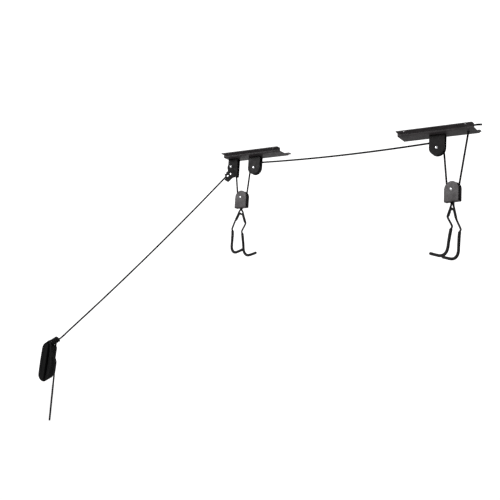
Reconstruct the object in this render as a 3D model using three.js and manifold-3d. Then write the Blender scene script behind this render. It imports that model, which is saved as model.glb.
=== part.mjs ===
// Ceiling mounted pulley rack: a pair of ceiling brackets, one rope reeved through five sheaves,
// two pulley blocks with twin J-hooks, a rope lock and a wall cleat that keeps the spare rope.
// Millimetres, +Z up. The origin is bracket A's centre on the ceiling; +X runs to bracket B.

import * as THREE from 'three';
import { mergeVertices } from 'three/addons/utils/BufferGeometryUtils.js';
import Module from 'manifold-3d';

const wasm = await Module();
wasm.setup();

// ---- driving dimensions ----------------------------------------------------------------------

const BRACKET_SPACING = 588;
const GAP = 0.3;

const CHANNEL = { length: 210, width: 87, webWidth: 54, depth: 11, sheet: 2, cornerRadius: 3.5 };
const FLANGE_HOLE = { fromEnd: 21, radius: 3.6, y: 35 };
const ANCHOR_X = BRACKET_SPACING + 82.5;
const ANCHOR_HOLE_RADIUS = 3.6;

const HOUSING = { halfWidth: 21.5, halfDepth: 8.5, sheet: 1.8 };
const HOUSING_TOP = -CHANNEL.depth - GAP;
const LOCK_TOP_MIDDLE = -83;
const AXLE_RADIUS = 3;
const AXLE_BORE = 3.4;
const AXLE_HEAD = { radius: 5, height: 2.2 };
const RIVET = { radius: 2.2, headRadius: 4, headHeight: 1.6, x: 8.5 };
const PIN = { radius: 2.5, headRadius: 3.8, headHeight: 1.6 };

const ROPE_RADIUS = 2.5;
const SHEAVE = { pitch: 17, rim: 20, hubRadius: 7.5, rimHalfWidth: 4.2, hubHalfWidth: 6.3 };
const LOCK_SHEAVE = { ...SHEAVE, pitch: 14, rim: 17 };

const FIXED_AXLE_Z = -47.3;
const LOCK_AXLE = { x: -88, z: -37 };
const GUIDE_PIN = { x: -107.3, z: -57 };
const CAM_PIN = { x: -97, z: -67 };
const STOP_PIN = { x: -86.5, z: -61.5 };
const CAM = { radius: 5, tail: 13, yLow: -6.3, yHigh: 3.2 };
const ARM_PIN_END = 3.5;

const BLOCK = { belowAxle: 34 };
const degrees = THREE.MathUtils.degToRad;
const BLOCK_1 = { x: -42, z: -140, yaw: degrees(-3), hookYaw: degrees(-6) };
const BLOCK_2 = { x: BRACKET_SPACING + 44.2, z: -165, yaw: degrees(-14), hookYaw: degrees(-10) };

const WIRE_RADIUS = 2.5;
const EYE = { radius: 4.6, rise: 6.2, neck: 3.1 };
const EYE_SLOT = { halfLength: 6.3, halfWidth: 4.5 };
const TIE_RADIUS = 1.8;
const SLEEVE = { outer: 4.2, inner: 3.1, cap: 2 };

const HANK = { x: -436, y: -370.5, z: -684.5, tilt: degrees(4) };
const HANK_RING = { halfWidth: 24, straight: 35, slot: 8.5, halfDepth: 10.5 };
const NECK_RADIUS = 9;
const CLEAT = { baseWidth: 20, baseLength: 96, baseSheet: 5, coreWidth: 13, coreLength: 84, hornLength: 104 };

const CROSSING_SAG = 7;
const LOCK_EXIT = [
  [-102, 0, -45], [-101.9, 0, -52], [-102, -0.4, -56.5], [-102.9, -2, -61.2], [-105.2, -4.7, -65.4],
];
const PULL_START = [-105.4, -5, -65.8];
const PULL_SAG = 10;
const PULL_PART = 0.997;
const NECK_FOOT = [7, 55, 1];
const LINE_END = [-404.9, -364.3, -617];

// ---- materials -------------------------------------------------------------------------------

function finish(color, roughness, metalness) {
  return new THREE.MeshStandardMaterial({ color, roughness, metalness });
}

const POWDER_COAT = finish(0x252224, 0.55, 0.2);
const ZINC = finish(0xb9babd, 0.35, 0.9);
const NYLON = finish(0x1c1b1c, 0.5, 0);
const ROPE = finish(0x161617, 0.9, 0);
const WIRE_STEEL = finish(0x232023, 0.5, 0.3);
const RUBBER = finish(0x171517, 0.75, 0);

// ---- small geometry tools --------------------------------------------------------------------

function toSolid(geometry) {
  const bare = geometry.clone();
  bare.deleteAttribute('normal');
  bare.deleteAttribute('uv');
  const merged = mergeVertices(bare, 1e-4);
  return new wasm.Manifold(new wasm.Mesh({
    numProp: 3,
    vertProperties: new Float32Array(merged.attributes.position.array),
    triVerts: new Uint32Array(merged.index.array),
  }));
}

function toGeometry(solid) {
  const mesh = solid.getMesh();
  const geometry = new THREE.BufferGeometry();
  geometry.setAttribute('position', new THREE.BufferAttribute(new Float32Array(mesh.vertProperties), 3));
  geometry.setIndex(new THREE.BufferAttribute(new Uint32Array(mesh.triVerts), 1));
  geometry.computeVertexNormals();
  return geometry;
}

const join = (...geometries) => toGeometry(geometries.map(toSolid).reduce((all, one) => all.add(one)));

function cut(body, ...tools) {
  return toGeometry(tools.map(toSolid).reduce((left, tool) => left.subtract(tool), toSolid(body)));
}

// A box between two opposite corners.
function boxBetween(low, high) {
  const size = high.map((value, i) => value - low[i]);
  const middle = high.map((value, i) => (value + low[i]) / 2);
  return new THREE.BoxGeometry(...size).translate(...middle);
}

// An outline drawn in X and Z, given thickness from yLow to yHigh.
function plateXZ(outline, yLow, yHigh) {
  const options = { depth: yHigh - yLow, bevelEnabled: false, curveSegments: 6 };
  const plate = new THREE.ExtrudeGeometry(outline, options);
  return plate.rotateX(Math.PI / 2).translate(0, yHigh, 0);
}

// A round bar along Y between yLow and yHigh.
function barY(radius, x, z, yLow, yHigh, sides = 12) {
  return new THREE.CylinderGeometry(radius, radius, yHigh - yLow, sides).translate(x, (yLow + yHigh) / 2, z);
}

// A round bar along Z between zLow and zHigh.
function barZ(radius, x, y, zLow, zHigh, sides = 10) {
  const bar = new THREE.CylinderGeometry(radius, radius, zHigh - zLow, sides);
  return bar.rotateX(Math.PI / 2).translate(x, y, (zLow + zHigh) / 2);
}

// A domed rivet head of the given radius and height, its base at the origin, rising along +Y.
function domedHead(radius, height) {
  const rise = [];
  for (let i = 0; i < 2; i += 1) {
    const angle = (i / 2) * (Math.PI / 2);
    rise.push(new THREE.Vector2(radius * Math.cos(angle), height * Math.sin(angle)));
  }
  return new THREE.LatheGeometry([new THREE.Vector2(0, 0), ...rise, new THREE.Vector2(0, height)], 12);
}

// A plain tube along a curve, with flat ends.
function tube(curve, radius, sides, steps) {
  const section = new THREE.Shape();
  for (let i = 0; i < sides; i += 1) {
    const angle = (i / sides) * 2 * Math.PI;
    const method = i === 0 ? 'moveTo' : 'lineTo';
    section[method](radius * Math.cos(angle), radius * Math.sin(angle));
  }
  section.closePath();
  return new THREE.ExtrudeGeometry(section, { steps, bevelEnabled: false, extrudePath: curve });
}

function through(points) {
  const vectors = points.map((point) => new THREE.Vector3(...point));
  return new THREE.CatmullRomCurve3(vectors, false, 'centripetal');
}


// Points of an arc in the XZ plane, angles in degrees from +X towards +Z.
function arcPoints(x, z, radius, from, to, count) {
  const points = [];
  for (let i = 0; i <= count; i += 1) {
    const angle = degrees(from + ((to - from) * i) / count);
    points.push([x + radius * Math.cos(angle), 0, z + radius * Math.sin(angle)]);
  }
  return points;
}

const rack = new THREE.Group();

function addPiece(name, geometry, material) {
  const mesh = new THREE.Mesh(geometry, material);
  mesh.name = name;
  rack.add(mesh);
}

// ---- ceiling brackets ------------------------------------------------------------------------

// A hat section: two flanges against the ceiling and a web hanging between two side walls.
function channelProfile() {
  const { width, webWidth, depth, sheet } = CHANNEL;
  const half = webWidth / 2;
  const corners = [
    [-width / 2, 0], [-width / 2, -sheet], [-half, -sheet], [-half, -depth], [half, -depth], [half, -sheet],
    [width / 2, -sheet], [width / 2, 0], [half - sheet, 0], [half - sheet, sheet - depth],
    [sheet - half, sheet - depth], [sheet - half, 0],
  ];
  return new THREE.Shape(corners.map(([y, z]) => new THREE.Vector2(y, z)));
}

// What is left outside a rounded flange corner, as a cutting tool.
function cornerTool(x, y) {
  const { cornerRadius: radius, sheet } = CHANNEL;
  const low = [Math.min(x, x - Math.sign(x) * radius), Math.min(y, y - Math.sign(y) * radius), -sheet - 1];
  const high = [Math.max(x, x - Math.sign(x) * radius), Math.max(y, y - Math.sign(y) * radius), 1];
  const grow = (value, toward) => value + Math.sign(toward);
  const corner = boxBetween(
    [x < 0 ? grow(low[0], x) : low[0], y < 0 ? grow(low[1], y) : low[1], low[2]],
    [x > 0 ? grow(high[0], x) : high[0], y > 0 ? grow(high[1], y) : high[1], high[2]],
  );
  return cut(corner, barZ(radius, x - Math.sign(x) * radius, y - Math.sign(y) * radius, -sheet - 2, 2, 20));
}

function channelGeometry(webHoles) {
  const { length, width, sheet, depth } = CHANNEL;
  const hat = new THREE.ExtrudeGeometry(channelProfile(), { depth: length, bevelEnabled: false });
  hat.rotateX(Math.PI / 2).rotateZ(Math.PI / 2).translate(-length / 2, 0, 0);
  const tools = [];
  for (const side of [-1, 1]) {
    for (const end of [-1, 1]) {
      const x = end * (length / 2 - FLANGE_HOLE.fromEnd);
      tools.push(barZ(FLANGE_HOLE.radius, x, side * FLANGE_HOLE.y, -sheet - 1, 1));
      tools.push(cornerTool((end * length) / 2, (side * width) / 2));
    }
  }
  for (const { x, radius } of webHoles) {
    tools.push(barZ(radius, x, 0, -depth - 1, sheet - depth + 1));
  }
  return cut(hat, ...tools);
}

const rivetHoles = (x) => [-1, 1].map((side) => ({ x: x + side * RIVET.x, radius: RIVET.radius + GAP }));

function addChannels() {
  const lockHoles = rivetHoles(LOCK_TOP_MIDDLE);
  addPiece('bracket_a_channel', channelGeometry([...rivetHoles(0), ...lockHoles]), POWDER_COAT);
  const anchorHole = { x: ANCHOR_X - BRACKET_SPACING, radius: ANCHOR_HOLE_RADIUS };
  const channelB = channelGeometry([...rivetHoles(0), anchorHole]).translate(BRACKET_SPACING, 0, 0);
  addPiece('bracket_b_channel', channelB, POWDER_COAT);
}

// ---- fixed pulley housings -------------------------------------------------------------------

// Two cheeks and a top plate folded from one strip; the cheeks end in a half circle.
function pulleyHousing(x) {
  const { halfWidth, halfDepth, sheet } = HOUSING;
  const cheek = new THREE.Shape();
  cheek.moveTo(-halfWidth, HOUSING_TOP);
  cheek.lineTo(-halfWidth, FIXED_AXLE_Z);
  cheek.absarc(0, FIXED_AXLE_Z, halfWidth, Math.PI, 2 * Math.PI, false);
  cheek.lineTo(halfWidth, HOUSING_TOP);
  const topHoles = rivetHoles(0).map((hole) => barZ(hole.radius, hole.x, 0, HOUSING_TOP - sheet - 1, 0));
  const inside = halfDepth - sheet;
  const folded = cut(
    plateXZ(cheek, -halfDepth, halfDepth),
    boxBetween([-halfWidth - 1, -inside, -200], [halfWidth + 1, inside, HOUSING_TOP - sheet]),
    barY(AXLE_BORE, 0, FIXED_AXLE_Z, -halfDepth - 1, halfDepth + 1),
    ...topHoles,
  );
  return folded.translate(x, 0, 0);
}

// ---- rope lock housing -----------------------------------------------------------------------

// The near cheek has an arm below the sheave for the guide pin, cam and stop.
function lockNearCheek() {
  const outline = new THREE.Shape();
  outline.moveTo(-99, HOUSING_TOP);
  outline.lineTo(-99, -45);
  outline.quadraticCurveTo(-98.5, -52.5, -104, -53);
  outline.absarc(GUIDE_PIN.x, GUIDE_PIN.z, 4.1, Math.PI / 2, Math.PI * 1.1, false);
  outline.lineTo(-109.5, -64);
  outline.lineTo(-109.5, -76);
  outline.quadraticCurveTo(-109.5, -78.5, -107, -80);
  outline.lineTo(-98.5, -85.5);
  outline.quadraticCurveTo(-95.5, -87.5, -92.5, -85);
  outline.lineTo(-79, -74.5);
  outline.lineTo(-65, -72);
  outline.quadraticCurveTo(-61.5, -71, -61.5, -67);
  outline.lineTo(-65, HOUSING_TOP);
  return outline;
}

// The far cheek holds the other end of the axle and stops short of the arm.
function lockFarCheek() {
  const outline = new THREE.Shape();
  outline.moveTo(-99, HOUSING_TOP);
  outline.lineTo(-99, -48);
  outline.quadraticCurveTo(-98, -57, -89, -57.5);
  outline.lineTo(-81, -60);
  outline.lineTo(-78, -68);
  outline.quadraticCurveTo(-77, -71, -73, -71);
  outline.lineTo(-69, -71);
  outline.quadraticCurveTo(-65, -70.5, -65, -66);
  outline.lineTo(-65, HOUSING_TOP);
  return outline;
}

function lockHousing() {
  const { halfDepth, sheet } = HOUSING;
  const inside = halfDepth - sheet;
  const holes = rivetHoles(LOCK_TOP_MIDDLE);
  const topHoles = holes.map((hole) => barZ(hole.radius, hole.x, 0, HOUSING_TOP - sheet - 1, 0));
  const bores = [GUIDE_PIN, CAM_PIN, STOP_PIN].map(({ x, z }) => barY(PIN.radius + GAP, x, z, -20, 0));
  const [start, next] = pullLinePoints().map((point) => new THREE.Vector3(...point));
  const ropeWay = new THREE.LineCurve3(start, next);
  const folded = join(
    plateXZ(lockNearCheek(), -halfDepth, -inside),
    boxBetween([-99, -halfDepth, HOUSING_TOP - sheet], [-65, halfDepth, HOUSING_TOP]),
    plateXZ(lockFarCheek(), inside, halfDepth),
  );
  return cut(
    folded,
    barY(AXLE_BORE, LOCK_AXLE.x, LOCK_AXLE.z, -20, 20),
    tube(ropeWay, ROPE_RADIUS + 0.8, 10, 1),
    ...bores,
    ...topHoles,
  );
}

// ---- rivets, axles and pins ------------------------------------------------------------------

// Joins a housing's top plate to the web: a domed head above the web and a flat one below.
function addHousingRivets(label, x) {
  const webTop = CHANNEL.sheet - CHANNEL.depth;
  const plateBottom = HOUSING_TOP - HOUSING.sheet;
  for (const [word, side] of [['left', -1], ['right', 1]]) {
    const rivet = join(
      barZ(RIVET.radius, 0, 0, plateBottom - 1.2, webTop + 1.2),
      domedHead(RIVET.headRadius, RIVET.headHeight).rotateX(Math.PI / 2).translate(0, 0, webTop + GAP),
      barZ(RIVET.headRadius - 0.8, 0, 0, plateBottom - GAP - 1, plateBottom - GAP),
    );
    addPiece(`${label}_rivet_${word}`, rivet.translate(x + side * RIVET.x, 0, 0), ZINC);
  }
}

// An axle along Y through both cheeks, domed at both ends.
function axle(x, z, yaw = 0) {
  const face = HOUSING.halfDepth + GAP;
  const { radius, height } = AXLE_HEAD;
  const pin = join(
    barY(AXLE_RADIUS, 0, 0, -face - 0.5, face + 0.5),
    domedHead(radius, height).translate(0, face, 0),
    domedHead(radius, height).rotateX(Math.PI).translate(0, -face, 0),
  );
  return pin.rotateZ(yaw).translate(x, 0, z);
}

// A pin on the lock's arm: a domed head outside the near cheek and a flat head at its inner end.
function armPin({ x, z }) {
  const face = HOUSING.halfDepth + GAP;
  const { radius, headRadius, headHeight } = PIN;
  return join(
    barY(radius, 0, 0, -face - 0.5, ARM_PIN_END + 1),
    domedHead(headRadius, headHeight).rotateX(Math.PI).translate(0, -face, 0),
    barY(headRadius - 0.4, 0, 0, ARM_PIN_END, ARM_PIN_END + 1.3),
  ).translate(x, 0, z);
}

function lockCam() {
  const { radius, tail, yLow, yHigh } = CAM;
  const outline = new THREE.Shape();
  outline.absarc(0, 0, radius, -0.15 * Math.PI, 1.15 * Math.PI, false);
  outline.lineTo(-2.2, -tail + 2);
  outline.absarc(0, -tail + 2, 2.2, Math.PI, 2 * Math.PI, false);
  const cam = cut(plateXZ(outline, yLow, yHigh), barY(PIN.radius + GAP, 0, 0, -20, 20));
  return cam.translate(CAM_PIN.x, 0, CAM_PIN.z);
}

// ---- sheaves ---------------------------------------------------------------------------------

// A grooved wheel on a wider hub, turning about Y.
function sheave({ pitch, rim, hubRadius, rimHalfWidth, hubHalfWidth }, x, z, yaw = 0) {
  const grooveRadius = ROPE_RADIUS + 0.35;
  const groove = [];
  for (let i = 0; i <= 4; i += 1) {
    const angle = (i / 4) * Math.PI;
    groove.push([pitch - grooveRadius * Math.sin(angle), grooveRadius * Math.cos(angle)]);
  }
  const profile = [
    [AXLE_BORE, -hubHalfWidth], [hubRadius, -hubHalfWidth], [hubRadius, -rimHalfWidth + 0.6],
    [rim - 1, -rimHalfWidth], [rim, 0.6 - rimHalfWidth], [rim, -grooveRadius - 0.5],
    ...groove.reverse(),
    [rim, grooveRadius + 0.5], [rim, rimHalfWidth - 0.6], [rim - 1, rimHalfWidth],
    [hubRadius, rimHalfWidth - 0.6], [hubRadius, hubHalfWidth], [AXLE_BORE, hubHalfWidth],
    [AXLE_BORE, -hubHalfWidth],
  ];
  const wheel = new THREE.LatheGeometry(profile.map(([r, y]) => new THREE.Vector2(r, y)), 18);
  return wheel.rotateZ(yaw).translate(x, 0, z);
}

// ---- pulley blocks ---------------------------------------------------------------------------

// A strip folded at the bottom into two cheeks with arched tops; a slot takes the hook's eye.
function blockHousing({ x, z, yaw }) {
  const { halfWidth, halfDepth, sheet } = HOUSING;
  const bottom = -BLOCK.belowAxle;
  const cheek = new THREE.Shape();
  cheek.moveTo(halfWidth, bottom);
  cheek.lineTo(halfWidth, 0);
  cheek.absarc(0, 0, halfWidth, 0, Math.PI, false);
  cheek.lineTo(-halfWidth, bottom);
  const slotHalf = EYE_SLOT.halfWidth;
  const slotEnd = EYE_SLOT.halfLength - slotHalf;
  const slotEnds = [-slotEnd, slotEnd].map((x0) => barZ(slotHalf, x0, 0, bottom - 1, bottom + 4));
  const slotMiddle = boxBetween([-slotEnd, -slotHalf, bottom - 1], [slotEnd, slotHalf, bottom + 4]);
  const folded = cut(
    plateXZ(cheek, -halfDepth, halfDepth),
    boxBetween([-halfWidth - 1, sheet - halfDepth, bottom + sheet], [halfWidth + 1, halfDepth - sheet, 100]),
    barY(AXLE_BORE, 0, 0, -20, 20),
    slotMiddle,
    ...slotEnds,
  );
  return folded.rotateZ(yaw).translate(x, 0, z);
}

// ---- hooks -----------------------------------------------------------------------------------

// One leg below the eye: across is towards the tip, out is away from the middle plane.
const HOOK_LEG = [
  { across: 0, out: 6.6, drop: 9 },
  { across: 0, out: 15, drop: 24.5 },
  { across: 0.3, out: 22.5, drop: 38 },
  { across: 0.2, out: 24.7, drop: 43 },
  { across: -1.8, out: 25, drop: 48 },
  { across: -10.8, out: 23.6, drop: 65 },
  { across: -12.6, out: 23.4, drop: 69.5 },
  { across: -11.6, out: 23.4, drop: 73.5 },
  { across: -9.8, out: 23.6, drop: 77 },
  { across: -8.4, out: 24.2, drop: 86 },
  { across: -6, out: 27, drop: 110 },
  { across: -4.4, out: 28.7, drop: 128 },
  { across: -1, out: 29.5, drop: 137.5 },
  { across: 6.5, out: 30.2, drop: 144.5 },
  { across: 15, out: 30.7, drop: 146 },
  { across: 30, out: 31.8, drop: 142.8 },
  { across: 41, out: 32.6, drop: 139.6 },
];
const SLEEVE_START = 8;

// The eye stands inside the block; its two wires come down through the slot and cross over.
function hookWirePoints() {
  const near = HOOK_LEG.map(({ across, out, drop }) => [across, -out, -drop]).reverse();
  const far = HOOK_LEG.map(({ across, out, drop }) => [across, out, -drop]);
  const up = [[1.3, -3, -5], [EYE.neck - 0.1, -0.3, -0.9], [EYE.neck, 0, 1.2]];
  const down = up.map(([x, y, z]) => [-x, -y, z]).reverse();
  return [...near, ...up, ...arcPoints(0, EYE.rise, EYE.radius, -35, 215, 10), ...down, ...far];
}

// A thinner wire welded inside the fork, dipping between the legs like a hammock.
function hookTiePoints() {
  const half = [[0, 20], [1.6, 19], [3.4, 17.2], [5.4, 17.3], [8.7, 22.5], [12.8, 30], [18.3, 40]];
  const far = half.map(([out, drop]) => [0, out, -drop]);
  const near = half.slice(1).map(([out, drop]) => [0, -out, -drop]).reverse();
  return [...near, ...far];
}

// Turns a hook's own points into place: the tips point to tipSide, and the hook hangs with its block.
function placeHook(points, tipSide, { x, z, hookYaw }) {
  const floor = new THREE.Vector3(x, 0, z - BLOCK.belowAxle);
  const turn = (point) => point.applyAxisAngle(new THREE.Vector3(0, 0, 1), hookYaw).add(floor).toArray();
  return points.map(([px, py, pz]) => turn(new THREE.Vector3(tipSide * px, py, pz)));
}

function addHook(number, tipSide, block) {
  const points = placeHook(hookWirePoints(), tipSide, block);
  const covered = HOOK_LEG.length - SLEEVE_START;
  addPiece(`hook_${number}_wire`, tube(through(points), WIRE_RADIUS, 8, 70), WIRE_STEEL);
  const tie = through(placeHook(hookTiePoints(), tipSide, block));
  addPiece(`hook_${number}_tie`, tube(tie, TIE_RADIUS, 8, 24), WIRE_STEEL);
  const nearLeg = points.slice(0, covered).reverse();
  const farLeg = points.slice(points.length - covered);
  addPiece(`hook_${number}_sleeve_near`, sleeveGeometry(nearLeg), RUBBER);
  addPiece(`hook_${number}_sleeve_far`, sleeveGeometry(farLeg), RUBBER);
}

// A rubber sleeve over the leg's lower end, closed past the wire's tip.
function sleeveGeometry(legPoints) {
  const last = new THREE.Vector3(...legPoints[legPoints.length - 1]);
  const before = new THREE.Vector3(...legPoints[legPoints.length - 2]);
  const first = new THREE.Vector3(...legPoints[0]);
  const second = new THREE.Vector3(...legPoints[1]);
  const onward = last.clone().sub(before).normalize();
  const upward = first.clone().sub(second).normalize();
  const past = (from, direction, distance) => from.clone().addScaledVector(direction, distance).toArray();
  const outside = through([...legPoints, past(last, onward, SLEEVE.cap + GAP)]);
  const inside = through([past(first, upward, 1), ...legPoints, past(last, onward, GAP)]);
  return cut(tube(outside, SLEEVE.outer, 8, 16), tube(inside, SLEEVE.inner, 8, 17));
}

// ---- rope ------------------------------------------------------------------------------------

const ropeTube = (points, steps, sides = 8) => tube(through(points), ROPE_RADIUS, sides, steps);

function strand(top, bottom) {
  const line = new THREE.LineCurve3(new THREE.Vector3(...top), new THREE.Vector3(...bottom));
  return tube(line, ROPE_RADIUS, 8, 1);
}

// The knot above bracket B's web, the rope's start below it, and its knotted tail past the channel.
function anchorKnot() {
  const webTop = CHANNEL.sheet - CHANNEL.depth;
  const end = BRACKET_SPACING + CHANNEL.length / 2;
  const ball = () => new THREE.SphereGeometry(1, 10, 7);
  const lump = (x, y, z, rx, ry, rz) => ball().scale(rx, ry, rz).translate(x, y, z);
  return join(
    lump(ANCHOR_X, 0, webTop + 4.3, 7, 7.5, 3.9),
    barZ(ROPE_RADIUS, ANCHOR_X, 0, -CHANNEL.depth - 0.4, webTop + 4, 8),
    ropeTube([[ANCHOR_X, 0, -4.8], [ANCHOR_X + 12, -4, -5], [end, -14, -5.2], [end + 9, -23, -5.4]], 8),
    lump(end + 10, -24.5, -5.2, 7, 4.6, 4.4),
  );
}

// A point given from a block's axle, turned with the block.
function onBlock({ x, z, yaw }, point) {
  const turned = new THREE.Vector3(...point).applyAxisAngle(new THREE.Vector3(0, 0, 1), yaw);
  return [x + turned.x, turned.y, z + turned.z];
}

// Hank coordinates: u across it, v along it, w from its back to its front.
function onHank(u, v, w) {
  const { x, y, z, tilt } = HANK;
  return [x + u * Math.cos(tilt) + v * Math.sin(tilt), y - w, z - u * Math.sin(tilt) + v * Math.cos(tilt)];
}

const placeOnHank = (geometry) => geometry.rotateY(HANK.tilt).translate(HANK.x, HANK.y, HANK.z);

// A stadium outline of the given half width, with straight sides from -straight to straight.
function stadium(shape, halfWidth, straight) {
  shape.moveTo(halfWidth, -straight);
  shape.lineTo(halfWidth, straight);
  shape.absarc(0, straight, halfWidth, 0, Math.PI, false);
  shape.lineTo(-halfWidth, -straight);
  shape.absarc(0, -straight, halfWidth, Math.PI, 2 * Math.PI, false);
  return shape;
}

function hankGeometry() {
  const { halfWidth, straight, slot, halfDepth } = HANK_RING;
  const outline = stadium(new THREE.Shape(), halfWidth, straight);
  outline.holes.push(stadium(new THREE.Path(), slot, straight));
  const ring = placeOnHank(plateXZ(outline, -halfDepth, halfDepth));
  const foot = new THREE.Vector3(...onHank(...NECK_FOOT));
  const neckLine = new THREE.LineCurve3(foot, new THREE.Vector3(...LINE_END));
  return join(ring, tube(neckLine, NECK_RADIUS, 12, 1));
}

// The hand line, from the lock to the hank, with the slight sag of a taut rope. It stops just
// short of the neck, so that the two solids don't touch.
function pullLinePoints() {
  const points = [];
  const count = 16;
  for (let i = 0; i <= count; i += 1) {
    const t = (PULL_PART * i) / count;
    const point = PULL_START.map((value, axis) => value + (LINE_END[axis] - value) * t);
    point[2] -= 4 * PULL_SAG * t * (1 - t);
    points.push(point);
  }
  return points;
}

const TAIL = [
  onHank(26.9, 24, 2.5), onHank(28, 18, 2.5), onHank(30.4, 11, 2.5), onHank(32.6, 4, 2.5),
  onHank(33.9, -4, 2.5), onHank(34.1, -13, 2.5), onHank(34, -22, 2.5), [-404.5, -373, -716],
  [-404.3, -373, -728], [-404.3, -373, -742], [-404.4, -373, -758], [-404.4, -373, -776],
  [-404.5, -373, -796], [-404.5, -373, -816], [-404.5, -373, -834], [-404.5, -373, -850],
];

function addRope() {
  const { pitch } = SHEAVE;
  const topZ = FIXED_AXLE_Z + pitch;
  const b = BRACKET_SPACING;
  const below = (point) => [point[0], point[1], point[2] - GAP];
  const above = (point) => [point[0], point[1], point[2] + GAP];
  const quarterB = arcPoints(b, FIXED_AXLE_Z, pitch, 0, 90, 8);
  const quarterA = arcPoints(0, FIXED_AXLE_Z, pitch, 90, 180, 8);
  const overLock = arcPoints(LOCK_AXLE.x, LOCK_AXLE.z, LOCK_SHEAVE.pitch, 0, 180, 14);
  const around = (block) => arcPoints(0, 0, pitch, 360, 180, 16).map((point) => onBlock(block, point));
  const crossing = [];
  for (let i = 0; i <= 24; i += 1) {
    const t = i / 24;
    crossing.push([GAP + (b - 2 * GAP) * t, 0, topZ - 4 * CROSSING_SAG * t * (1 - t)]);
  }
  const side = (block, sign) => onBlock(block, [sign * pitch, 0, 0]);
  addPiece('rope_anchor_knot', anchorKnot(), ROPE);
  addPiece('rope_strand_anchor', strand([ANCHOR_X, 0, -CHANNEL.depth - 0.8], above(side(BLOCK_2, 1))), ROPE);
  addPiece('rope_around_block_2', ropeTube(around(BLOCK_2), 12), ROPE);
  const leavingB = below([b + pitch, 0, FIXED_AXLE_Z]);
  addPiece('rope_strand_block_2', strand(leavingB, above(side(BLOCK_2, -1))), ROPE);
  addPiece('rope_over_pulley_b', ropeTube(quarterB, 6), ROPE);
  addPiece('rope_crossing', ropeTube(crossing, 30), ROPE);
  addPiece('rope_over_pulley_a', ropeTube(quarterA, 6), ROPE);
  addPiece('rope_strand_block_1', strand(below([-pitch, 0, FIXED_AXLE_Z]), above(side(BLOCK_1, 1))), ROPE);
  addPiece('rope_around_block_1', ropeTube(around(BLOCK_1), 12), ROPE);
  const lockSide = [LOCK_AXLE.x + LOCK_SHEAVE.pitch, 0, LOCK_AXLE.z];
  addPiece('rope_strand_lock', strand(below(lockSide), above(side(BLOCK_1, -1))), ROPE);
  addPiece('rope_over_lock', ropeTube([...overLock, ...LOCK_EXIT], 20), ROPE);
  addPiece('rope_pull_line', ropeTube(pullLinePoints(), 36), ROPE);
  addPiece('rope_hank', hankGeometry(), ROPE);
  addPiece('rope_tail', ropeTube(TAIL, 20), ROPE);
}

// ---- wall cleat ------------------------------------------------------------------------------

// A base plate on the wall, a core through the hank's slot and a pair of horns in front of it.
function wallCleat() {
  const { baseWidth, baseLength, baseSheet, coreWidth, coreLength, hornLength } = CLEAT;
  const back = HANK_RING.halfDepth + GAP;
  const base = stadium(new THREE.Shape(), baseWidth / 2, (baseLength - baseWidth) / 2);
  const core = stadium(new THREE.Shape(), coreWidth / 2, (coreLength - coreWidth) / 2);
  const horns = stadium(new THREE.Shape(), coreWidth / 2, (hornLength - coreWidth) / 2);
  const screwHoles = [-1, 1].map((end) => barY(2.6, 0, end * (baseLength / 2 - 6.5), -60, 60, 14));
  const cleat = join(
    cut(plateXZ(base, back, back + baseSheet), ...screwHoles),
    plateXZ(core, -back - 3, back + 1),
    plateXZ(horns, -back - 6, -back),
  );
  return placeOnHank(cleat);
}

// ---- assembly --------------------------------------------------------------------------------

addChannels();
addPiece('lock_housing', lockHousing(), POWDER_COAT);
addPiece('pulley_a_housing', pulleyHousing(0), POWDER_COAT);
addPiece('pulley_b_housing', pulleyHousing(BRACKET_SPACING), POWDER_COAT);
addHousingRivets('lock', LOCK_TOP_MIDDLE);
addHousingRivets('pulley_a', 0);
addHousingRivets('pulley_b', BRACKET_SPACING);
addPiece('lock_axle', axle(LOCK_AXLE.x, LOCK_AXLE.z), ZINC);
addPiece('pulley_a_axle', axle(0, FIXED_AXLE_Z), ZINC);
addPiece('pulley_b_axle', axle(BRACKET_SPACING, FIXED_AXLE_Z), ZINC);
addPiece('lock_guide_pin', armPin(GUIDE_PIN), ZINC);
addPiece('lock_cam_pin', armPin(CAM_PIN), ZINC);
addPiece('lock_stop_pin', armPin(STOP_PIN), ZINC);
addPiece('lock_cam', lockCam(), ZINC);
addPiece('lock_sheave', sheave(LOCK_SHEAVE, LOCK_AXLE.x, LOCK_AXLE.z), NYLON);
addPiece('pulley_a_sheave', sheave(SHEAVE, 0, FIXED_AXLE_Z), NYLON);
addPiece('pulley_b_sheave', sheave(SHEAVE, BRACKET_SPACING, FIXED_AXLE_Z), NYLON);
for (const [number, block, tipSide] of [[1, BLOCK_1, 1], [2, BLOCK_2, -1]]) {
  addPiece(`block_${number}_housing`, blockHousing(block), POWDER_COAT);
  addPiece(`block_${number}_axle`, axle(block.x, block.z, block.yaw), ZINC);
  addPiece(`block_${number}_sheave`, sheave(SHEAVE, block.x, block.z, block.yaw), NYLON);
  addHook(number, tipSide, block);
}
addRope();
addPiece('wall_cleat', wallCleat(), POWDER_COAT);

export default rack;
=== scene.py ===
import math

import bmesh
import bpy
import numpy as np
from mathutils import Matrix, Vector


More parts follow.
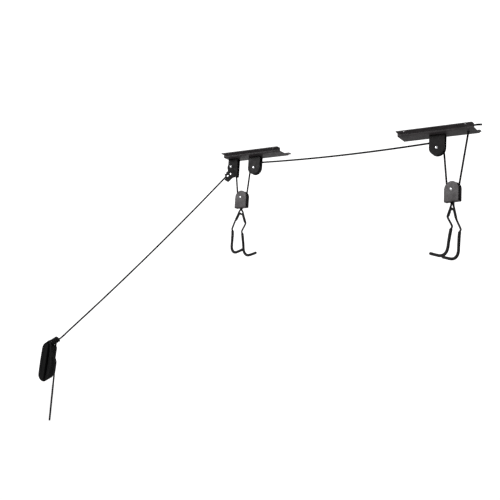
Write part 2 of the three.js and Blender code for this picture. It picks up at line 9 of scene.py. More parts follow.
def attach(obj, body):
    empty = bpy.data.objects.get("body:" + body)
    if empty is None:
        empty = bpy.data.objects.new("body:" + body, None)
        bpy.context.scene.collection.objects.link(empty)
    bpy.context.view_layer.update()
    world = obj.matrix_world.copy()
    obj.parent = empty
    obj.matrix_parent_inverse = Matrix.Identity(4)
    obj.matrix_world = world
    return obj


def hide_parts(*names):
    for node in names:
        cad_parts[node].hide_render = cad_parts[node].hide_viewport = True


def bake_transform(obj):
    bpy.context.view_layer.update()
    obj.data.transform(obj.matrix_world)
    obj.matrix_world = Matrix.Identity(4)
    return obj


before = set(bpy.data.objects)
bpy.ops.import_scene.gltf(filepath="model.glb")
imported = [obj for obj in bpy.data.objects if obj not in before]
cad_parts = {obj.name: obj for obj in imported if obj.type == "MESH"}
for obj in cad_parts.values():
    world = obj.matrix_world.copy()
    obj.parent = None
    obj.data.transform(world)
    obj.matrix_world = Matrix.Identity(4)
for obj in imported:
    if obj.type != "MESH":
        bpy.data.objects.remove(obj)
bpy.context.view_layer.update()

# The ceiling mounted pulley rack's looks. Shapes are in millimetres, and every mesh is scaled to
# metres when it is made. The camera, the lamps and the materials' bumps are in metres.
# The rack's own places repeat those of its CAD source.

METRES = 0.001
SPACING = 588
GAP = 0.3
SHEET = 1.8
HALF_DEPTH = 8.5
HALF_WIDTH = 21.5
HOUSING_TOP = -11.3
AXLE_Z = -47.3
AXLE_BORE = 3.4
PITCH = 17
LOCK_PITCH = 14
LOCK_AXLE = (-88, -37)
ROPE = 5.0
ROPE_OVER_YARNS = 5.5
ANCHOR_X = SPACING + 82.5
BLOCK_BOTTOM = -34

# Each block's axle, how far it and its hook are turned about Z, and which way the tips point.
BLOCKS = {
    1: {"axle": (-42, 0, -140), "yaw": -3, "hook_yaw": -6, "tips": 1},
    2: {"axle": (SPACING + 44.2, 0, -165), "yaw": -14, "hook_yaw": -10, "tips": -1},
}


# ---- camera ----------------------------------------------

VIEW_FROM = (1.2276, -1.8185, -0.6258)
VIEW_TURN = (34.01, 8.225, 3.6)
VIEW_LENS = 51.55


def make_camera():
    """From below, in front and past bracket B: yaw to the left of +Y, pitch up, and roll, in degrees."""
    yaw, pitch, roll = (math.radians(a) for a in VIEW_TURN)
    level = Vector((math.cos(yaw), math.sin(yaw), 0))
    flat = math.cos(pitch)
    forward = Vector((-math.sin(yaw) * flat, math.cos(yaw) * flat, math.sin(pitch)))
    upright = level.cross(forward)
    right = level * math.cos(roll) + upright * math.sin(roll)
    up = upright * math.cos(roll) - level * math.sin(roll)
    data = bpy.data.cameras.new("photo_camera")
    data.sensor_width = 36
    data.lens = VIEW_LENS
    camera = bpy.data.objects.new("photo_camera", data)
    camera.matrix_world = Matrix((right, up, -forward)).transposed().to_4x4()
    camera.location = VIEW_FROM
    bpy.context.scene.collection.objects.link(camera)
    bpy.context.scene.camera = camera


make_camera()


# ---- meshes ----------------------------------------------


def mesh_object(name, points, faces, smooth=True):
    """A linked object from points in millimetres."""
    mesh = bpy.data.meshes.new(name)
    scaled = (np.asarray(points, float) * METRES).tolist()
    mesh.from_pydata(scaled, [], faces)
    mesh.update()
    if smooth:
        mesh.shade_smooth()
    piece = bpy.data.objects.new(name, mesh)
    bpy.context.scene.collection.objects.link(piece)
    return piece


def place(piece, origin, turn=0.0, axis="Z"):
    """Turns a mesh made round its own origin, and moves it to a point in millimetres."""
    where = Matrix.Translation(Vector(origin) * METRES)
    piece.data.transform(where @ Matrix.Rotation(math.radians(turn), 4, axis))
    return piece


def turned(point, yaw, origin):
    """A point turned about Z by an angle in degrees, and then moved with its origin."""
    a = math.radians(yaw)
    (u, v, w), (x, y, z) = point, origin
    return (x + u * math.cos(a) - v * math.sin(a), y + u * math.sin(a) + v * math.cos(a), z + w)


def arc(x, y, radius, start, stop, count=24):
    """Points along a circle, from one angle in degrees to another."""
    angles = np.radians(np.linspace(start, stop, count + 1))
    return [(x + radius * math.cos(a), y + radius * math.sin(a)) for a in angles]


def prism(name, outline, plane, low, high):
    """An outline in the plane XY, XZ or YZ, made solid from low to high along the third axis."""
    order = {"XY": (0, 1, 2), "XZ": (0, 2, 1), "YZ": (1, 2, 0)}[plane]
    count = len(outline)
    points = np.zeros((2 * count, 3))
    points[:count, order[:2]] = outline
    points[count:, order[:2]] = outline
    points[:count, order[2]] = low
    points[count:, order[2]] = high
    sides = [(i, (i + 1) % count, count + (i + 1) % count, count + i) for i in range(count)]
    caps = [tuple(range(count))[::-1], tuple(range(count, 2 * count))]
    faces = sides + caps
    shoelace = sum(
        x0 * y1 - x1 * y0 for (x0, y0), (x1, y1) in zip(outline, list(outline[1:]) + [outline[0]])
    )
    if (shoelace < 0) != (plane == "XZ"):
        faces = [face[::-1] for face in faces]
    return mesh_object(name, points, faces, smooth=False)


def bar(axis, radius, centre, low, high, count=40):
    """A round bar, as a tool for holes."""
    plane = {"X": "YZ", "Y": "XZ", "Z": "XY"}[axis]
    return prism("tool", arc(*centre, radius, 0, 360, count)[:-1], plane, low, high)


def combine(body, tool, operation="DIFFERENCE"):
    """Cuts a tool out of a body, joins it, or keeps what they share."""
    modifier = body.modifiers.new("combine", "BOOLEAN")
    modifier.operation = operation
    modifier.object = tool
    modifier.solver = "EXACT"
    depsgraph = bpy.context.evaluated_depsgraph_get()
    result = bpy.data.meshes.new_from_object(body.evaluated_get(depsgraph))
    body.modifiers.clear()
    body.data = result
    bpy.data.objects.remove(tool)
    return body


def soften(body, width=0.35, segments=2):
    """Rounds the sharp edges of a pressed or moulded piece."""
    body.data.shade_smooth()
    body.data.set_sharp_from_angle(angle=math.radians(60))
    bevel = body.modifiers.new("soft_edges", "BEVEL")
    bevel.width = width * METRES
    bevel.segments = segments
    bevel.limit_method = "ANGLE"
    bevel.angle_limit = math.radians(40)
    bevel.harden_normals = True
    return body


BEND_STEPS = 6


def sheet_profile(corners, thickness, bend):
    """The outline of a sheet with square bends that runs through the corners at mid-thickness."""
    corners = [Vector(c) for c in corners]
    line = [(corners[0], (corners[1] - corners[0]).normalized())]
    for before, corner, after in zip(corners, corners[1:], corners[2:]):
        back, on = (before - corner).normalized(), (after - corner).normalized()
        centre = corner + (back + on) * bend
        for i in range(BEND_STEPS + 1):
            turn = math.radians(90 / BEND_STEPS * i)
            at = centre - on * bend * math.cos(turn) - back * bend * math.sin(turn)
            line.append((at, on * math.sin(turn) - back * math.cos(turn)))
    line.append((corners[-1], (corners[-1] - corners[-2]).normalized()))
    half = thickness / 2
    left = [(p.x - t.y * half, p.y + t.x * half) for p, t in line]
    right = [(p.x + t.y * half, p.y - t.x * half) for p, t in line]
    return left + right[::-1]


def lathe(name, profile, axis, centre, count=48, yaw=0.0):
    """A profile of (radius, height) points turned about Y or Z through the centre.

    It starts and ends on the axis, or else closes on itself.
    """
    rings = []
    for i in range(count):
        a = 2 * math.pi * i / count
        for radius, height in profile:
            if axis == "Z":
                rings.append((radius * math.cos(a), radius * math.sin(a), height))
            else:
                rings.append((radius * math.cos(a), height, -radius * math.sin(a)))
    n = len(profile)
    closed = profile[0][0] > 0
    faces = []
    for i in range(count):
        j = (i + 1) % count
        for k in range(n if closed else n - 1):
            m = (k + 1) % n
            faces.append((i * n + k, j * n + k, j * n + m, i * n + m))
    piece = mesh_object(name, rings, faces)
    if not closed:
        weld_axis(piece)
    piece.data.set_sharp_from_angle(angle=math.radians(50))
    return place(piece, centre, yaw)


def weld_axis(piece):
    """Joins the points of a turned mesh that lie together on its axis."""
    work = bmesh.new()
    work.from_mesh(piece.data)
    bmesh.ops.remove_doubles(work, verts=work.verts, dist=1e-7)
    bmesh.ops.dissolve_degenerate(work, edges=work.edges, dist=1e-7)
    work.to_mesh(piece.data)
    work.free()


# ---- curves and tubes ------------------------------------


def spline(points, step):
    """A centripetal Catmull-Rom curve through the points, as points a step apart."""
    p = np.asarray(points, float)
    p = np.vstack([2 * p[0] - p[1], p, 2 * p[-1] - p[-2]])
    fine = []
    for a, b, c, d in zip(p, p[1:], p[2:], p[3:]):
        t0 = 0.0
        t1 = t0 + math.sqrt(np.linalg.norm(b - a))
        t2 = t1 + math.sqrt(np.linalg.norm(c - b))
        t3 = t2 + math.sqrt(np.linalg.norm(d - c))
        count = max(4, math.ceil(np.linalg.norm(c - b) / step * 2))
        t = np.linspace(t1, t2, count, endpoint=False)[:, None]
        ab = (t1 - t) / (t1 - t0) * a + (t - t0) / (t1 - t0) * b
        bc = (t2 - t) / (t2 - t1) * b + (t - t1) / (t2 - t1) * c
        cd = (t3 - t) / (t3 - t2) * c + (t - t2) / (t3 - t2) * d
        abc = (t2 - t) / (t2 - t0) * ab + (t - t0) / (t2 - t0) * bc
        bcd = (t3 - t) / (t3 - t1) * bc + (t - t1) / (t3 - t1) * cd
        fine.append((t2 - t) / (t2 - t1) * abc + (t - t1) / (t2 - t1) * bcd)
    return spaced(np.vstack([*fine, p[-2]]), step)


def spaced(line, step):
    """The same line, with its points evenly spaced, about a step apart."""
    along = np.concatenate([[0], np.cumsum(np.linalg.norm(np.diff(line, axis=0), axis=1))])
    at = np.linspace(0, along[-1], max(2, round(along[-1] / step) + 1))
    return np.stack([np.interp(at, along, line[:, k]) for k in range(3)], axis=1)


def frames_along(line):
    """Tangents, and two normals that turn as little as they can along the line."""
    tangents = np.gradient(line, axis=0)
    tangents /= np.linalg.norm(tangents, axis=1)[:, None]
    helper = np.array([0.0, 0.0, 1.0]) if abs(tangents[0][2]) < 0.9 else np.array([1.0, 0.0, 0.0])
    normal = np.cross(tangents[0], helper)
    normals = np.zeros_like(line)
    for i, tangent in enumerate(tangents):
        normal = normal - tangent * normal.dot(tangent)
        normal = normal / np.linalg.norm(normal)
        normals[i] = normal
    return tangents, normals, np.cross(tangents, normals)


DOME = [(0.92, 0.35), (0.7, 0.71), (0.36, 0.93)]


def tube(name, line, radii, sides, cap=0.5):
    """A tube of one radius, or of a row of radii for each ring, with domes on its ends."""
    tangents, across, over = frames_along(line)
    radii = np.broadcast_to(np.asarray(radii, float), (len(line), sides)).copy()
    rings, sizes, axes_a, axes_b = list(line), list(radii), list(across), list(over)
    for share, rise in DOME:
        rings.insert(0, line[0] - tangents[0] * radii[0].mean() * rise * cap)
        rings.append(line[-1] + tangents[-1] * radii[-1].mean() * rise * cap)
        sizes.insert(0, radii[0] * share)
        sizes.append(radii[-1] * share)
        axes_a.insert(0, across[0])
        axes_a.append(across[-1])
        axes_b.insert(0, over[0])
        axes_b.append(over[-1])
    rings, sizes = np.array(rings), np.array(sizes)
    axes_a, axes_b = np.array(axes_a), np.array(axes_b)
    angles = 2 * np.pi * np.arange(sides) / sides
    ring_points = (
        rings[:, None, :]
        + sizes[:, :, None] * np.cos(angles)[None, :, None] * axes_a[:, None, :]
        + sizes[:, :, None] * np.sin(angles)[None, :, None] * axes_b[:, None, :]
    )
    count = len(rings)
    points = np.vstack([ring_points.reshape(-1, 3), rings[0], rings[-1]])
    ring_starts, corner = np.arange(count - 1)[:, None] * sides, np.arange(sides)[None, :]
    first, second = ring_starts + corner, ring_starts + (corner + 1) % sides
    quads = np.stack([first, second, second + sides, first + sides], axis=2).reshape(-1, 4).tolist()
    start, end = count * sides, count * sides + 1
    last = (count - 1) * sides
    caps = [(start, (i + 1) % sides, i) for i in range(sides)]
    caps += [(end, last + i, last + (i + 1) % sides) for i in range(sides)]
    return mesh_object(name, points, quads + caps)


# ---- braided rope ----------------------------------------

# Yarns each way round the rope, the length of one pick, the depth between the yarns, and the mesh.
BRAID = {"yarns": 6, "pick": 2.7, "relief": 0.42, "sides": 18, "step": 0.9}


def braid_heights(count, step):
    """How high each point of a braided rope stands, from 0 to 1: yarns that pass over and under."""
    sides, yarns = BRAID["sides"], BRAID["yarns"]
    angle = np.arange(sides)[None, :] / sides * yarns
    along = np.arange(count)[:, None] * step / BRAID["pick"]
    right, left = angle + along / 2, angle - along / 2
    right_part, left_part = right % 1, left % 1
    over = (np.floor(right) + np.floor(left)) % 2 < 1
    broad = np.where(over, np.sin(np.pi * right_part), np.sin(np.pi * left_part))
    long = np.where(over, np.sin(np.pi * left_part), np.sin(np.pi * right_part))
    return np.clip(broad, 0, 1) ** 0.8 * (0.35 + 0.65 * np.clip(long, 0, 1) ** 0.6)


def rope(name, points, smooth_curve=True):
    """A braided rope through the points, with its yarns in the mesh and their height as an attribute."""
    step = BRAID["step"]
    line = spline(points, step) if smooth_curve else spaced(np.asarray(points, float), step)
    heights = braid_heights(len(line), step)
    radii = ROPE_OVER_YARNS / 2 - BRAID["relief"] * (1 - heights)
    piece = tube(name, line, radii, BRAID["sides"])
    dome = np.full(len(DOME) * BRAID["sides"], 0.5)
    values = np.concatenate([dome, heights.ravel(), dome, [0.5, 0.5]])
    attribute = piece.data.attributes.new("yarn_height", "FLOAT", "POINT")
    attribute.data.foreach_set("value", values.astype(np.float32))
    return piece, line


# ---- materials -------------------------------------------


class Nodes:
    """A small helper that builds one procedural material."""

    def __init__(self, name):
        self.material = bpy.data.materials.new(name)
        self.material.use_nodes = True
        self.tree = self.material.node_tree
        self.tree.nodes.clear()
        output = self.tree.nodes.new("ShaderNodeOutputMaterial")
        self.shader = self.tree.nodes.new("ShaderNodeBsdfPrincipled")
        self.tree.links.new(self.shader.outputs[0], output.inputs[0])
        self.place = self.tree.nodes.new("ShaderNodeTexCoord").outputs["Object"]

    def add(self, kind, **values):
        """A node, with its inputs or its own settings given by name."""
        node = self.tree.nodes.new(kind)
        for key, value in values.items():
            if key in node.inputs:
                node.inputs[key].default_value = value
            else:
                setattr(node, key, value)
        return node

    def link(self, source, target):
        self.tree.links.new(source, target)

    def set(self, name, value):
        """Gives one of the shader's sockets a value that is the same all over."""
        self.shader.inputs[name].default_value = value

    def feed(self, name, source):
        self.link(source, self.shader.inputs[name])

    def noise(self, scale, detail=3.0, stretch=None):
        """Noise from 0 to 1 in the object's own space, stretched if asked."""
        where = self.place
        if stretch:
            mapping = self.add("ShaderNodeMapping")
            mapping.inputs["Scale"].default_value = stretch
            self.link(where, mapping.inputs["Vector"])
            where = mapping.outputs["Vector"]
        node = self.add("ShaderNodeTexNoise", Scale=scale, Detail=detail)
        self.link(where, node.inputs["Vector"])
        return node.outputs["Fac"]

    def ramp(self, source, stops):
        """Colours or greys along a 0 to 1 value."""
        node = self.add("ShaderNodeValToRGB")
        elements = node.color_ramp.elements
        while len(elements) < len(stops):
            elements.new(0.5)
        for element, (position, value) in zip(elements, stops):
            element.position = position
            rgb = value if isinstance(value, tuple) else (value, value, value)
            element.color = (*rgb, 1)
        self.link(source, node.inputs["Fac"])
        return node.outputs["Color"]

    def bump(self, source, strength, distance, under=None):
        node = self.add("ShaderNodeBump", Strength=strength, Distance=distance)
        self.link(source, node.inputs["Height"])
        if under is not None:
            self.link(under, node.inputs["Normal"])
        return node.outputs["Normal"]


def powder_coat(name, tint, shine):
    """Satin black powder coat: fine orange peel, and a cloudy colour and gloss."""
    n = Nodes(name)
    light = tuple(1.45 * c for c in tint)
    dark = tuple(0.75 * c for c in tint)
    n.feed("Base Color", n.ramp(n.noise(38, 4), [(0.35, dark), (0.7, light)]))
    n.feed("Roughness", n.ramp(n.noise(90, 5), [(0.3, 0.42), (0.75, 0.6)]))
    peel = n.bump(n.noise(900, 2), 0.22, 0.0003)
    n.feed("Normal", n.bump(n.noise(3200, 2), 0.16, 0.0001, peel))
    n.set("Specular IOR Level", shine)
    return n.material


def zinc(name):
    """Bright zinc plate with a fine drawn grain and a few duller patches."""
    n = Nodes(name)
    n.set("Metallic", 1.0)
    patches = n.ramp(n.noise(260, 4), [(0.3, (0.60, 0.61, 0.64)), (0.7, (0.86, 0.86, 0.87))])
    n.feed("Base Color", patches)
    n.feed("Roughness", n.ramp(n.noise(700, 4), [(0.3, 0.2), (0.7, 0.38)]))
    n.feed("Normal", n.bump(n.noise(1500, 2, (1, 6, 1)), 0.12, 0.0001))
    return n.material


def nylon(name, tint, shine):
    """Moulded black nylon with a fine spark texture."""
    n = Nodes(name)
    light = tuple(1.6 * c for c in tint)
    n.feed("Base Color", n.ramp(n.noise(120, 4), [(0.35, tint), (0.75, light)]))
    n.feed("Roughness", n.ramp(n.noise(300, 3), [(0.3, 0.45), (0.7, 0.62)]))
    n.feed("Normal", n.bump(n.noise(2600, 2), 0.18, 0.0001))
    n.set("Specular IOR Level", shine)
    return n.material


def coated_wire(name):
    """Dip-coated steel wire, glossier than the sheet, with shallow runs along it."""
    n = Nodes(name)
    shade = n.ramp(n.noise(70, 4), [(0.3, (0.004, 0.0038, 0.004)), (0.75, (0.010, 0.009, 0.0095))])
    n.feed("Base Color", shade)
    n.feed("Roughness", n.ramp(n.noise(160, 4), [(0.3, 0.34), (0.75, 0.5)]))
    runs = n.bump(n.noise(260, 2, (1, 1, 0.25)), 0.2, 0.0003)
    n.feed("Normal", n.bump(n.noise(1800, 2), 0.12, 0.0001, runs))
    n.set("Specular IOR Level", 0.3)
    return n.material


def rubber(name):
    """Matt black dipped rubber, faintly pebbled, with a soft sheen."""
    n = Nodes(name)
    shade = n.ramp(n.noise(55, 5), [(0.3, (0.0045, 0.0042, 0.0045)), (0.75, (0.010, 0.0095, 0.0098))])
    n.feed("Base Color", shade)
    n.feed("Roughness", n.ramp(n.noise(220, 4), [(0.3, 0.58), (0.75, 0.78)]))
    pebbles = n.bump(n.noise(1100, 3), 0.3, 0.00025)
    n.feed("Normal", n.bump(n.noise(180, 3), 0.25, 0.0006, pebbles))
    n.set("Specular IOR Level", 0.3)
    n.set("Sheen Weight", 0.03)
    n.set("Sheen Roughness", 0.5)
    return n.material


def braided_polyester(name):
    """Black rope: painted shade between the yarns, painted lighter grey on their crowns, which are also
    silkier.
    """
    n = Nodes(name)
    height = n.add("ShaderNodeAttribute", attribute_name="yarn_height").outputs["Fac"]
    # Painted shade: the colour darkens from the yarns' crowns down into the gaps between them.
    shade = n.ramp(height, [(0.05, (0.0008, 0.0008, 0.0008)), (0.55, (0.0055, 0.0055, 0.006)),
                            (1.0, (0.014, 0.014, 0.015))])
    mix = n.add("ShaderNodeMix", data_type="RGBA", blend_type="MULTIPLY")
    mix.inputs["Factor"].default_value = 0.6
    n.link(shade, mix.inputs["A"])
    n.link(n.ramp(n.noise(240, 4), [(0.3, 0.55), (0.7, 1.0)]), mix.inputs["B"])
    n.feed("Base Color", mix.outputs["Result"])
    n.feed("Roughness", n.ramp(height, [(0.0, 0.95), (1.0, 0.62)]))
    fibres = n.bump(n.noise(4200, 2), 0.35, 0.0001)
    n.feed("Normal", n.bump(n.noise(1400, 3), 0.2, 0.0002, fibres))
    n.set("Specular IOR Level", 0.2)
    n.set("Sheen Weight", 0.015)
    n.set("Sheen Roughness", 0.4)
    return n.material


# One satin black powder coat in four lit and shaded copies. The channels and the blocks get painted light,
# a lighter tint. The pulley housings and the lock get painted shade, a darker tint and a duller gloss. Each
# stands in for how the lamps fall on that part.
CHANNEL_COAT_PAINTED_LIGHTER = powder_coat("satin_black_channel_painted_light", (0.036, 0.031, 0.033), 0.4)
HOUSING_COAT_PAINTED_DARKER = powder_coat("satin_black_housing_painted_shade", (0.011, 0.0095, 0.010), 0.14)
LOCK_COAT_PAINTED_DARKER = powder_coat("satin_black_lock_painted_shade", (0.0055, 0.0048, 0.005), 0.08)
BLOCK_COAT_PAINTED_LIGHTER = powder_coat("satin_black_block_painted_light", (0.058, 0.052, 0.054), 0.4)
ZINC = zinc("bright_zinc_plate")
NYLON = nylon("moulded_black_nylon", (0.017, 0.017, 0.018), 0.5)
CLEAT_NYLON = nylon("black_cleat_nylon", (0.003, 0.003, 0.0032), 0.12)
WIRE_COAT = coated_wire("coated_hook_wire")
RUBBER = rubber("dipped_black_rubber")
ROPE_WEAVE = braided_polyester("black_braided_polyester")


def dress(piece, material, slot, *replaced):
    """Gives a piece its material, and hides the CAD nodes that it stands for. Its slot is not used."""
    piece.data.materials.clear()
    piece.data.materials.append(material)
    if replaced:
        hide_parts(*replaced)
    return piece


# ---- free rope: the hand line, its hank and its tail -----

PULL_START = (-105.4, -5, -65.8)
LINE_END = (-404.9, -364.3, -617)
PULL_SAG = 10
PULL_STEPS = 16
HANK = (-436, -370.5, -684.5)
HANK_TILT = 4
HANK_LAYERS = (11.2, 16.4, 21.8)
HANK_COLUMNS = (-7.8, -2.6, 2.6, 7.8)
HANK_DEPTH = 21
HANK_TOP = 34
HANK_BOTTOM = -37
HANK_MIDDLE = -2
BOW_REACH = 36
BACK_RISE = 8
RIGHT_START_DROP = 6
RIGHT_TOP_DROP = 3
RUN_POINTS = 6
LOW_ARC = (-20, -160)
TOP_ARC = (165, 15)
LAST_ARC = (165, 120)
WANDER = 0.7

# How full the hank is on each side, and by what share its right side narrows: towards its top
# and bottom, from a height on and over a length, and from its front to its back.
LEFT_FULLNESS = 1.08
RIGHT_FULLNESS = 0.95
TOP_NARROWING = {"share": 0.17, "start": -6, "length": 34}
LOW_NARROWING = {"share": 0.16, "start": -8, "length": 28}
BACK_NARROWING = 0.18


def on_hank(u, v, w):
    """A point on the hank: u across it, v up it, w out from the wall."""
    tilt = math.radians(HANK_TILT)
    x, y, z = HANK
    cosine, sine = math.cos(tilt), math.sin(tilt)
    return (x + u * cosine + v * sine, y - w, z - u * sine + v * cosine)


def pull_line():
    """The taut hand line from the lock to the hank's neck, with its slight sag."""
    points = []
    for i in range(PULL_STEPS + 1):
        t = i / PULL_STEPS
        x, y, z = (a + (b - a) * t for a, b in zip(PULL_START, LINE_END))
        points.append((x, y, z - 4 * PULL_SAG * t * (1 - t)))
    return points


def right_reach(radius, column):
    """How far right a turn reaches: the hank is fuller at its front than at its back."""
    depth = (HANK_COLUMNS[-1] - column) / (HANK_COLUMNS[-1] - HANK_COLUMNS[0])
    return radius * (RIGHT_FULLNESS - BACK_NARROWING * depth)


def narrowed(right, v):
    """The right side's reach at a height."""
    top = max(0.0, (v - TOP_NARROWING["start"]) / TOP_NARROWING["length"])
    low = max(0.0, (LOW_NARROWING["start"] - v) / LOW_NARROWING["length"])
    return right - (TOP_NARROWING["share"] * right * top + LOW_NARROWING["share"] * right * low)


def bowed(v):
    """How much a run strays at a height: 1 at its middle, down to 0 near its ends."""
    return max(0.0, 1 - ((v - HANK_MIDDLE) / BOW_REACH) ** 2)


def hank_turn(radius, column, next_radius, next_column, wander, last=False):
    """One long turn: down the right side, round the bottom, up the left side and over the top."""
    points = []
    low = HANK_BOTTOM + BACK_RISE * (HANK_DEPTH / 2 - column) / HANK_DEPTH
    right, left = right_reach(radius, column), radius * LEFT_FULLNESS
    next_right = right_reach(next_radius, next_column) * (1 - TOP_NARROWING["share"])
    stray_left, stray_right, stray_out = wander
    for v in np.linspace(HANK_TOP - RIGHT_START_DROP, low, RUN_POINTS):
        bow = bowed(v)
        points.append(on_hank(narrowed(right, v) + stray_right * bow, v, column - stray_out * bow))
    low_right = right * (1 - LOW_NARROWING["share"])
    start, stop = LOW_ARC
    for angle in np.linspace(start, stop, 7):
        a = math.radians(angle)
        r = low_right + (left - low_right) * (start - angle) / (start - stop)
        points.append(on_hank(r * math.cos(a), low + r * math.sin(a), column + stray_out * 0.5))
    for v in np.linspace(low, HANK_TOP, RUN_POINTS):
        bow = bowed(v)
        points.append(on_hank(-left - stray_left * bow, v, column + stray_out * bow))
    start, stop = TOP_ARC
    for angle in np.linspace(*LAST_ARC, 3) if last else np.linspace(*TOP_ARC, 8):
        share = (start - angle) / (start - stop)
        blend = share * share * (3 - 2 * share)
        r = left + (next_right - left) * blend
        a = math.radians(angle)
        height = HANK_TOP - RIGHT_TOP_DROP * share + r * math.sin(a)
        points.append(on_hank(r * math.cos(a), height, column + (next_column - column) * blend))
    return points


def hank_turns():
    """Every turn of the hank, layer over layer, wound a little unevenly."""
    random = np.random.default_rng(4)
    places = []
    for i, radius in enumerate(HANK_LAYERS):
        columns = HANK_COLUMNS if i % 2 == 0 else HANK_COLUMNS[::-1]
        places += [(radius, column) for column in columns]
    points = []
    for here, there in zip(places, places[1:]):
        points += hank_turn(*here, *there, random.uniform(-WANDER, WANDER, 3))
    points += hank_turn(*places[-1], *places[-1], random.uniform(-WANDER, WANDER, 3), last=True)
    return points


# The neck's foot is in the hank's own coordinates, and the wraps' places are distances up from it.
NECK_FOOT = (4, 54, 4)
NECK_LIFT = (0, 0, 3)
NECK_WRAPS = 4
NECK_RADIUS = 7.0
FIRST_RADIUS = 3.8
WIDENING = 1.3
WRAPS_TOP = 24.5
WRAPS_LENGTH = 22.5
WRAP_STEPS = 12
LEVEL_STEPS = 2


def neck_wraps():
    """Up beside the hand line, then round both of them, down to the neck's foot."""
    foot, top = np.array(on_hank(*NECK_FOOT)), np.array(LINE_END) + np.array(NECK_LIFT)
    axis = (top - foot) / np.linalg.norm(top - foot)
    side = np.cross(axis, (0, -1, 0))
    side /= np.linalg.norm(side)
    front = np.cross(side, axis)
    points = [on_hank(-4.5, 57, 8), on_hank(2, 60, 7)]
    points += [tuple(foot + axis * reach + front * 2.8) for reach in (11, 16, 21)]
    steps = NECK_WRAPS * WRAP_STEPS
    for i in range(steps + 1):
        a = math.radians(90 - 360 / WRAP_STEPS * i)
        radius = min(NECK_RADIUS, FIRST_RADIUS + WIDENING * i)
        reach = WRAPS_TOP - WRAPS_LENGTH * max(0, i - LEVEL_STEPS) / (steps - LEVEL_STEPS)
        at = foot + axis * reach + radius * (side * math.cos(a) + front * math.sin(a))
        points.append(tuple(at))
    return points


INTO_HANK = [on_hank(14.5, 63, -5), on_hank(11.5, 55, -7.5), on_hank(10.6, 45, -8.2)]
TAIL = [
    on_hank(13, 50, 12.4), on_hank(15.5, 42, 13.2), on_hank(18.8, 33, 13), on_hank(22.6, 24.5, 10.6),
    on_hank(27, 16, 6.4), on_hank(30.6, 9, 3.4), on_hank(32.9, 3, 2.5), on_hank(33.9, -4, 2.5),
    on_hank(34.1, -13, 2.5), on_hank(34, -22, 2.5), (-404.5, -373, -716), (-404.3, -373, -728),
    (-404.3, -373, -742), (-404.4, -373, -758), (-404.4, -373, -776), (-404.5, -373, -796),
    (-404.5, -373, -816), (-404.5, -373, -834), (-404.5, -373, -850),
]


def make_hand_line():
    """One rope: the line from the lock, the hank wound from it, its neck and its hanging tail."""
    route = pull_line() + INTO_HANK + hank_turns() + neck_wraps() + TAIL
    piece, line = rope("hand_line_and_hank", route)
    dress(piece, ROPE_WEAVE, "braided_rope", "rope_pull_line", "rope_hank", "rope_tail")
    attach(piece, "ceiling_frame")


make_hand_line()


# ---- ropes between the brackets and the blocks -----------


def on_block(number, point):
    """A point given from a block's axle, turned with the block."""
    return turned(point, BLOCKS[number]["yaw"], BLOCKS[number]["axle"])


def over_sheave(x, z, pitch, start, stop):
    """The rope's arc round a fixed sheave, in the plane Y = 0."""
    return [(px, 0, pz) for px, pz in arc(x, z, pitch, start, stop, 14)]


def fixed_rope(name, node, points, body="ceiling_frame"):
    """A stretch of rope that moves with one body."""
    piece, _ = rope(name, points)
    dress(piece, ROPE_WEAVE, "braided_rope", node)
    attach(piece, body)


def hanging_rope(name, node, top, number, side):
    """A straight part from its top down to one side of its block's sheave."""
    bottom = on_block(number, (side * PITCH, 0, 0))
    piece, _ = rope(name, [top, bottom], smooth_curve=False)
    dress(piece, ROPE_WEAVE, "braided_rope", node)
    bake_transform(piece)


LOCK_EXIT = [
    (-102, 0, -45), (-101.9, 0, -52), (-102, -0.4, -56.5), (-102.9, -2, -61.2), (-105.2, -4.7, -65.4),
]
CROSSING_SAG = 7
CROSSING_STEPS = 24
ANCHOR_Z = -11.5


def make_reeving():
    """Every part of the rope between the lock and the anchor, each with the CAD node it stands for."""
    top = AXLE_Z + PITCH
    crossing = []
    for i in range(CROSSING_STEPS + 1):
        t = i / CROSSING_STEPS
        crossing.append((SPACING * t, 0, top - 4 * CROSSING_SAG * t * (1 - t)))
    fixed_rope("rope_over_lock_sheave", "rope_over_lock",
               over_sheave(*LOCK_AXLE, LOCK_PITCH, 0, 180) + LOCK_EXIT)
    fixed_rope("rope_over_sheave_a", "rope_over_pulley_a", over_sheave(0, AXLE_Z, PITCH, 90, 180))
    fixed_rope("rope_over_sheave_b", "rope_over_pulley_b", over_sheave(SPACING, AXLE_Z, PITCH, 0, 90))
    fixed_rope("rope_between_brackets", "rope_crossing", crossing)
    for number in BLOCKS:
        around = [on_block(number, (u, 0, w)) for u, w in arc(0, 0, PITCH, 360, 180, 18)]
        fixed_rope(f"rope_under_sheave_{number}", f"rope_around_block_{number}", around, f"block_{number}")
    hanging_rope("strand_anchor_to_block_2", "rope_strand_anchor", (ANCHOR_X, 0, ANCHOR_Z), 2, 1)
    hanging_rope("strand_pulley_b_to_block_2", "rope_strand_block_2", (SPACING + PITCH, 0, AXLE_Z), 2, -1)
    hanging_rope("strand_pulley_a_to_block_1", "rope_strand_block_1", (-PITCH, 0, AXLE_Z), 1, 1)
    lock_side = (LOCK_AXLE[0] + LOCK_PITCH, 0, LOCK_AXLE[1])
    hanging_rope("strand_lock_to_block_1", "rope_strand_lock", lock_side, 1, -1)


SPIRAL_Z = -6.1
SPIRAL_POINTS = 15
SPIRAL_START = 150
SPIRAL_STEP = 32
SPIRAL_RADIUS = 4.2
SPIRAL_GROWTH = 0.6


